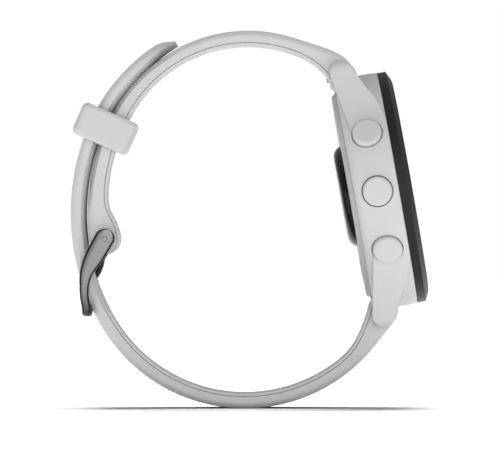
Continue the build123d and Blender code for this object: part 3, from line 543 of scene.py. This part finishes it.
def make_finishes(colours):
    """All finishes by material slot."""
    made = {}
    # Platinum-cured silicone rubber, compression moulded in a blasted mould: a fine even tooth, soft sheen.
    made["strap_silicone"] = finish_of("silicone_moulded_matte", colours.strap, "#CACACA", 0.25, 0.004,
                                       (0.5, 0.62), spread=0.3, Sheen_Weight=0.12, Sheen_Roughness=0.4, IOR=1.41)
    # Glass-fibre polyamide, injection moulded with a spark-eroded texture: matte, very slightly mottled.
    made["case_polymer"] = finish_of("polyamide_moulded_eroded", colours.case, "#CCCCCC", 0.18, 0.004,
                                     (0.45, 0.6), edge=0.35, spread=0.4, IOR=1.53)
    # The same polyamide in a finer mould and a shade darker: the back cover.
    made["cover_polymer"] = finish_of("polyamide_moulded_fine", "#BABABA", "#B5B5B5", 0.15, 0.003,
                                      (0.42, 0.55), edge=0.15, spread=0.4, IOR=1.53)
    # Polycarbonate, injection moulded and vapour smoothed: satin.
    made["button_polymer"] = finish_of("polycarbonate_moulded_satin", "#CFCFCF", "#CACACA", 0.3, 0.002,
                                       (0.35, 0.45), edge=0.1, spread=0.4, IOR=1.58)
    # Stainless steel, turned and coated by vapour deposition: charcoal satin with fine turning lines.
    made["bezel_metal"] = finish_of("steel_turned_charcoal_coat", colours.bezel, "#191A1B", 0.08, 0.0006,
                                    (0.42, 0.52), metal=0.1, edge=0.12, stretch=(1, 0.05, 0.05), spread=0.4,
                                    Specular_IOR_Level=0.28)
    # Chemically hardened mineral glass, ground, polished and given an anti-reflection coat: clear, little glare.
    made["cover_glass"] = finish_of("mineral_glass_polished", "#F4F8F8", "#EEF4F4", 3.0, 0.0,
                                    (0.01, 0.03), edge=0.1, spread=0.3, IOR=1.25, Transmission_Weight=1.0)
    # Nitrile rubber, moulded: black and dull.
    made["gasket_rubber"] = finish_of("nitrile_rubber_moulded", "#262626", "#1B1B1B", 0.2, 0.003, (0.6, 0.75))
    # Acetal, injection moulded: black, slightly waxy.
    made["inner_plastic"] = finish_of("acetal_moulded_black", "#2B2B2D", "#202022", 0.3, 0.002, (0.4, 0.52),
                                      edge=0.1)
    # Glass-epoxy laminate under green solder resist, screen printed.
    made["board_green"] = finish_of("glass_epoxy_solder_resist", "#1E6B3C", "#164F2D", 0.9, 0.003, (0.25, 0.4),
                                    stretch=(1, 1, 0.3), Coat_Weight=0.3)
    # Tinned steel sheet, stamped and folded.
    made["tin_plate"] = finish_of("tinned_steel_stamped", "#C9CACC", "#B3B4B7", 0.4, 0.001, (0.25, 0.4), metal=1.0,
                                  edge=0.1)
    # Aluminium laminate foil, pressed round the cell.
    made["battery_foil"] = finish_of("aluminium_foil_pressed", "#BFC1C5", "#A7A9AE", 1.4, 0.03, (0.25, 0.45),
                                     metal=1.0, edge=0.2)
    # Polyimide film over copper, rolled and laminated.
    made["flex_amber"] = finish_of("polyimide_film_laminated", "#C58A2E", "#A96F1D", 0.7, 0.002, (0.2, 0.35))
    # Stainless steel, turned bright.
    made["steel"] = finish_of("steel_turned_bright", "#C4C5C8", "#A9AAAE", 0.12, 0.0008, (0.2, 0.34), metal=1.0,
                              stretch=(1, 0.1, 1))
    # Tungsten alloy, pressed and sintered: grey, faintly pitted.
    made["tungsten"] = finish_of("tungsten_sintered", "#8B8C8F", "#6F7073", 0.12, 0.003, (0.4, 0.55), metal=1.0)
    # Brass sheet, rolled.
    made["brass"] = finish_of("brass_rolled", "#D6B368", "#BE9748", 0.3, 0.0008, (0.22, 0.36), metal=1.0,
                              stretch=(0.1, 1, 1))
    # Hard gold plate on copper pins, electroplated.
    made["gold_pins"] = finish_of("gold_electroplated", "#E8C878", "#D4AE57", 0.2, 0.0005, (0.15, 0.28), metal=1.0)
    # Filled polycarbonate lens, moulded and polished: near black and glossy.
    made["sensor_black"] = finish_of("polycarbonate_lens_polished", "#101113", "#0B0C0D", 1.2, 0.0002,
                                     (0.12, 0.2), spread=0.3, IOR=1.45, Specular_IOR_Level=0.25)
    # Phosphor bronze under nickel, stamped.
    made["switch_metal"] = finish_of("nickel_plate_stamped", "#B9BABC", "#A0A1A4", 0.25, 0.0008, (0.25, 0.4),
                                     metal=1.0)
    # Stainless steel, forged, bead blasted and grey coated: even satin with a fine peened tooth. Its bevels and
    # lower end are set darker, to imitate the dark surroundings that they mirror.
    made["buckle_steel"] = finish_of("steel_blasted_gunmetal", colours.buckle, "#7E7F80", 0.22, 0.004, (0.34, 0.46),
                                     metal=0.9, spread=0.5, corner="#2E2F31")
    # Spring steel, stamped and dark coated.
    made["tang_steel"] = finish_of("steel_stamped_dark_coat", "#363739", "#2B2C2E", 0.1, 0.001, (0.3, 0.42),
                                   metal=0.9)
    # Transflective cell behind a printed black border: an even dark panel, a shade bluer where it lights.
    made["display_black"] = display_finish()
    return made


def display_finish():
    """Dark panel: inside the active radius the cell's rows show as a fine ripple, outside it the border is black."""
    material = finish_of("transflective_cell_laminated", "#0D0E10", "#090A0B", 0.6, 0.0001, (0.3, 0.36), spread=0.3,
                         Specular_IOR_Level=0.08)
    tree = material.node_tree
    shader = next(node for node in tree.nodes if node.type == "BSDF_PRINCIPLED")
    place = next(node for node in tree.nodes if node.type == "TEX_COORD").outputs["Object"]
    low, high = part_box("display_panel")
    middle = (low + high) / 2
    centred = add(tree, "ShaderNodeVectorMath", {"operation": "DISTANCE"}, i0=place, i1=tuple(middle))
    active = add(tree, "ShaderNodeMapRange", i0=centred.outputs["Value"], i1=15.7 * MM, i2=15.9 * MM, i3=1.0, i4=0.0)
    rows = add(tree, "ShaderNodeTexWave", {"bands_direction": "Y"}, Vector=place, Scale=1 / (0.6 * MM) / 6.28)
    tone = add(tree, "ShaderNodeMath", {"operation": "MULTIPLY"}, i0=rows.outputs["Fac"], i1=active.outputs[0])
    shade = add(tree, "ShaderNodeMapRange", i0=tone.outputs[0], i3=0.0, i4=0.35)
    mixed = add(tree, "ShaderNodeMix", {"data_type": "RGBA"}, i0=shade.outputs[0])
    mixed.inputs[6].default_value, mixed.inputs[7].default_value = linear("#0B0C0E"), linear("#1D2124")
    tree.links.new(mixed.outputs[2], shader.inputs["Base Color"])
    return material


def paint(piece, material):
    """Give a piece one finish in all its material slots."""
    if not piece.data.materials:
        piece.data.materials.append(material)
    for slot in piece.material_slots:
        slot.material = material


# ---------------------------------------------------------------- settings
class WatchSizes(bpy.types.PropertyGroup):
    """Sizes of the new surfaces."""
    width: bpy.props.FloatProperty(name="Strap width", description="Across both straps", default=0.020,
                                   unit="LENGTH")
    thickness: bpy.props.FloatProperty(name="Strap thickness", description="Of both straps between their ends",
                                       default=0.00275, unit="LENGTH")
    hole_length: bpy.props.FloatProperty(name="Hole length", description="Of a slot, along the strap",
                                         default=0.0038, unit="LENGTH")
    hole_width: bpy.props.FloatProperty(name="Hole width", description="Of a slot, across the strap",
                                        default=0.0026, unit="LENGTH")
    keeper_width: bpy.props.FloatProperty(name="Keeper width", description="Outside, across the strap",
                                          default=0.0236, unit="LENGTH")
    keeper_length: bpy.props.FloatProperty(name="Keeper length", description="Along the strap",
                                           default=0.00625, unit="LENGTH")
    keeper_corner: bpy.props.FloatProperty(name="Keeper corner", description="Radius of its outer edges",
                                           default=0.0011, unit="LENGTH")


class WatchColours(bpy.types.PropertyGroup):
    """Colours of the finishes that show most, as sRGB hex values."""
    strap: bpy.props.StringProperty(name="Strap", description="Silicone colour", default="#CECECE")
    case: bpy.props.StringProperty(name="Case", description="Case polymer colour", default="#D0D0D0")
    bezel: bpy.props.StringProperty(name="Bezel", description="Bezel coating colour", default="#1E1F20")
    buckle: bpy.props.StringProperty(name="Buckle", description="Buckle steel colour", default="#98999A")
    floor: bpy.props.StringProperty(name="Floor", description="Floor paint colour", default="#C4C4C4")


class WatchStudio(bpy.types.PropertyGroup):
    """Camera distance and light levels."""
    camera_distance: bpy.props.FloatProperty(name="Camera distance", description="From the middle of the watch",
                                             default=1.9, unit="LENGTH")
    sky: bpy.props.FloatProperty(name="Sky", description="Strength of the surroundings as a light", default=0.4)
    front_power: bpy.props.FloatProperty(name="Front light", description="Power beside the camera, in watts",
                                         default=8.0)
    top_power: bpy.props.FloatProperty(name="Top light", description="Power of the light overhead, in watts",
                                       default=0.7)
    floor_level: bpy.props.FloatProperty(name="Floor light", description="Strength of the light on the floor alone",
                                         default=7.0)


# ---------------------------------------------------------------- operators
class WATCH_OT_stage(bpy.types.Operator):
    """Add the camera, the lights and the floor"""
    bl_idname = "watch.stage"
    bl_label = "Stage"

    def execute(self, context):
        studio, scene = context.scene.watch_studio, context.scene
        camera = bpy.data.objects.new("camera", bpy.data.cameras.new("camera"))
        scene.collection.objects.link(camera)
        camera.location = (0, -studio.camera_distance, CAMERA_HEIGHT)
        camera.rotation_euler = (pi / 2, 0, 0)
        camera.data.sensor_width = SENSOR
        camera.data.lens = SENSOR * studio.camera_distance / VIEW_WIDTH
        camera.data.clip_start, camera.data.clip_end = 0.05, 20.0
        scene.camera = camera
        floor_only, watch_only = (bpy.data.collections.new(name) for name in ("floor_only", "watch_only"))
        self.floor(context, floor_only, watch_only)
        for name, place, turn, size, power in (
                ("front_light", (0.25, -1.5, 0.3), (radians(80), 0, radians(9.5)), 1.2, studio.front_power),
                ("top_light", (0.2, -0.15, 0.9), (radians(-10), radians(12), 0), 0.5, studio.top_power)):
            light = bpy.data.objects.new(name, bpy.data.lights.new(name, "AREA"))
            scene.collection.objects.link(light)
            light.location, light.rotation_euler = place, turn
            light.data.size, light.data.energy = size, power
            light.light_linking.receiver_collection = watch_only
        world = bpy.data.worlds.new("white_surroundings")
        scene.world = world
        world.use_nodes = True
        tree = world.node_tree
        tree.nodes.clear()
        seen = add(tree, "ShaderNodeLightPath").outputs["Is Camera Ray"]
        level = add(tree, "ShaderNodeMapRange", i0=seen, i3=studio.sky, i4=1.0)
        white = add(tree, "ShaderNodeBackground", Color=(1, 1, 1, 1), Strength=level.outputs[0])
        add(tree, "ShaderNodeOutputWorld", Surface=white.outputs[0])
        scene.view_settings.view_transform = "Standard"
        sun = bpy.data.objects.new("floor_light", bpy.data.lights.new("floor_light", "SUN"))
        scene.collection.objects.link(sun)
        sun.rotation_euler = (radians(-20), 0, 0)
        sun.data.energy, sun.data.angle = studio.floor_level, radians(40)
        sun.light_linking.receiver_collection = floor_only
        return {"FINISHED"}

    def floor(self, context, floor_only, watch_only):
        """Round floor: rings whose radius grows as the square of their number, level everywhere."""
        ring = np.linspace(0, 1, 20)[1:] ** 2 * 4000
        turn = np.linspace(0, 2 * pi, 49)[:-1]
        x, y = ring[:, None] * np.cos(turn), ring[:, None] * np.sin(turn)
        points = np.stack([x, y, 0 * x], -1)
        index = np.arange(x.size).reshape(x.shape)
        faces = np.stack([index[:-1], index[1:], np.roll(index[1:], -1, 1), np.roll(index[:-1], -1, 1)], -1)
        mesh = bpy.data.meshes.new("floor")
        mesh.from_pydata((points.reshape(-1, 3) * MM).tolist(), [],
                         faces.reshape(-1, 4).tolist() + [index[0].tolist()])
        floor = bpy.data.objects.new("floor", mesh)
        context.scene.collection.objects.link(floor)
        # Emulsion paint, rolled: a chalky pale grey with a faint stipple, lit until it reads as white.
        paint(floor, finish_of("emulsion_paint_rolled", context.scene.watch_colours.floor, "#C0C0C0", 2.0, 0.005,
                               (0.8, 0.9)))
        for group, state in ((floor_only, "INCLUDE"), (watch_only, "EXCLUDE")):
            group.objects.link(floor)
            group.collection_objects[0].light_linking.link_state = state


class WATCH_OT_finishes(bpy.types.Operator):
    """Give every piece of the frame its finish"""
    bl_idname = "watch.finishes"
    bl_label = "Finishes"

    def execute(self, context):
        finishes = make_finishes(context.scene.watch_colours)
        for slot, material in finishes.items():
            material["watch_slot"] = slot
        for name, piece in frame["nodes"].items():
            paint(piece, finishes[NODE_SLOT[name]])
        return {"FINISHED"}


def finish_in(slot):
    """The finish already made for a material slot."""
    return next(material for material in bpy.data.materials if material.get("watch_slot") == slot)


class WATCH_OT_hole_strap(bpy.types.Operator):
    """Build the strap with the holes, bending with the loop from the case to the buckle"""
    bl_idname = "watch.hole_strap"
    bl_label = "Hole strap"

    def execute(self, context):
        piece = make_hole_strap(context.scene.watch_sizes)
        paint(piece, finish_in("strap_silicone"))
        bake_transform(piece)
        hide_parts("hole_strap")
        return {"FINISHED"}


class WATCH_OT_buckle_strap(bpy.types.Operator):
    """Build the strap with the buckle"""
    bl_idname = "watch.buckle_strap"
    bl_label = "Buckle strap"

    def execute(self, context):
        piece = make_buckle_strap(context.scene.watch_sizes)
        paint(piece, finish_in("strap_silicone"))
        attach(piece, "buckle_strap_half")
        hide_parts("buckle_strap")
        return {"FINISHED"}


class WATCH_OT_keeper(bpy.types.Operator):
    """Build the loop that holds the strap's tail"""
    bl_idname = "watch.keeper"
    bl_label = "Keeper"

    def execute(self, context):
        piece = make_keeper(context.scene.watch_sizes)
        paint(piece, finish_in("strap_silicone"))
        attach(piece, "keeper")
        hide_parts("keeper")
        return {"FINISHED"}


class WATCH_OT_buckle(bpy.types.Operator):
    """Build the buckle's frame and its tang"""
    bl_idname = "watch.buckle"
    bl_label = "Buckle and tang"

    def execute(self, context):
        sizes = context.scene.watch_sizes
        for make, body, slot, nodes in ((make_buckle, "buckle", "buckle_steel", ["buckle_frame"]),
                                        (make_tang, "tang", "tang_steel", ["tang"]),
                                        (make_tang_eye, "tang", "tang_steel", [])):
            piece = make(sizes)
            paint(piece, finish_in(slot))
            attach(piece, body)
            if nodes:
                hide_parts(*nodes)
        return {"FINISHED"}


class WATCH_PT_panel(bpy.types.Panel):
    """Sizes, colours, light and the operators, in the sidebar"""
    bl_idname = "WATCH_PT_panel"
    bl_label = "Running watch"
    bl_space_type = "VIEW_3D"
    bl_region_type = "UI"
    bl_category = "Watch"

    def draw(self, context):
        for group in (context.scene.watch_sizes, context.scene.watch_colours, context.scene.watch_studio):
            column = self.layout.column()
            for key in group.bl_rna.properties.keys():
                if key not in ("rna_type", "name"):
                    column.prop(group, key)
        for operator in OPERATORS:
            self.layout.operator(operator.bl_idname)


OPERATORS = (WATCH_OT_stage, WATCH_OT_finishes, WATCH_OT_hole_strap, WATCH_OT_buckle_strap, WATCH_OT_keeper,
             WATCH_OT_buckle)
GROUPS = {"watch_sizes": WatchSizes, "watch_colours": WatchColours, "watch_studio": WatchStudio}


def register():
    for group in GROUPS.values():
        bpy.utils.register_class(group)
    for name, group in GROUPS.items():
        setattr(bpy.types.Scene, name, bpy.props.PointerProperty(type=group))
    for kind in (*OPERATORS, WATCH_PT_panel):
        bpy.utils.register_class(kind)


def unregister():
    for kind in (WATCH_PT_panel, *reversed(OPERATORS)):
        bpy.utils.unregister_class(kind)
    for name in GROUPS:
        delattr(bpy.types.Scene, name)
    for group in reversed(GROUPS.values()):
        bpy.utils.unregister_class(group)


def main():
    """Build everything in order."""
    register()
    for name in ("stage", "finishes", "hole_strap", "buckle_strap", "keeper", "buckle"):
        getattr(bpy.ops.watch, name)()


if __name__ == "__main__":
    main()
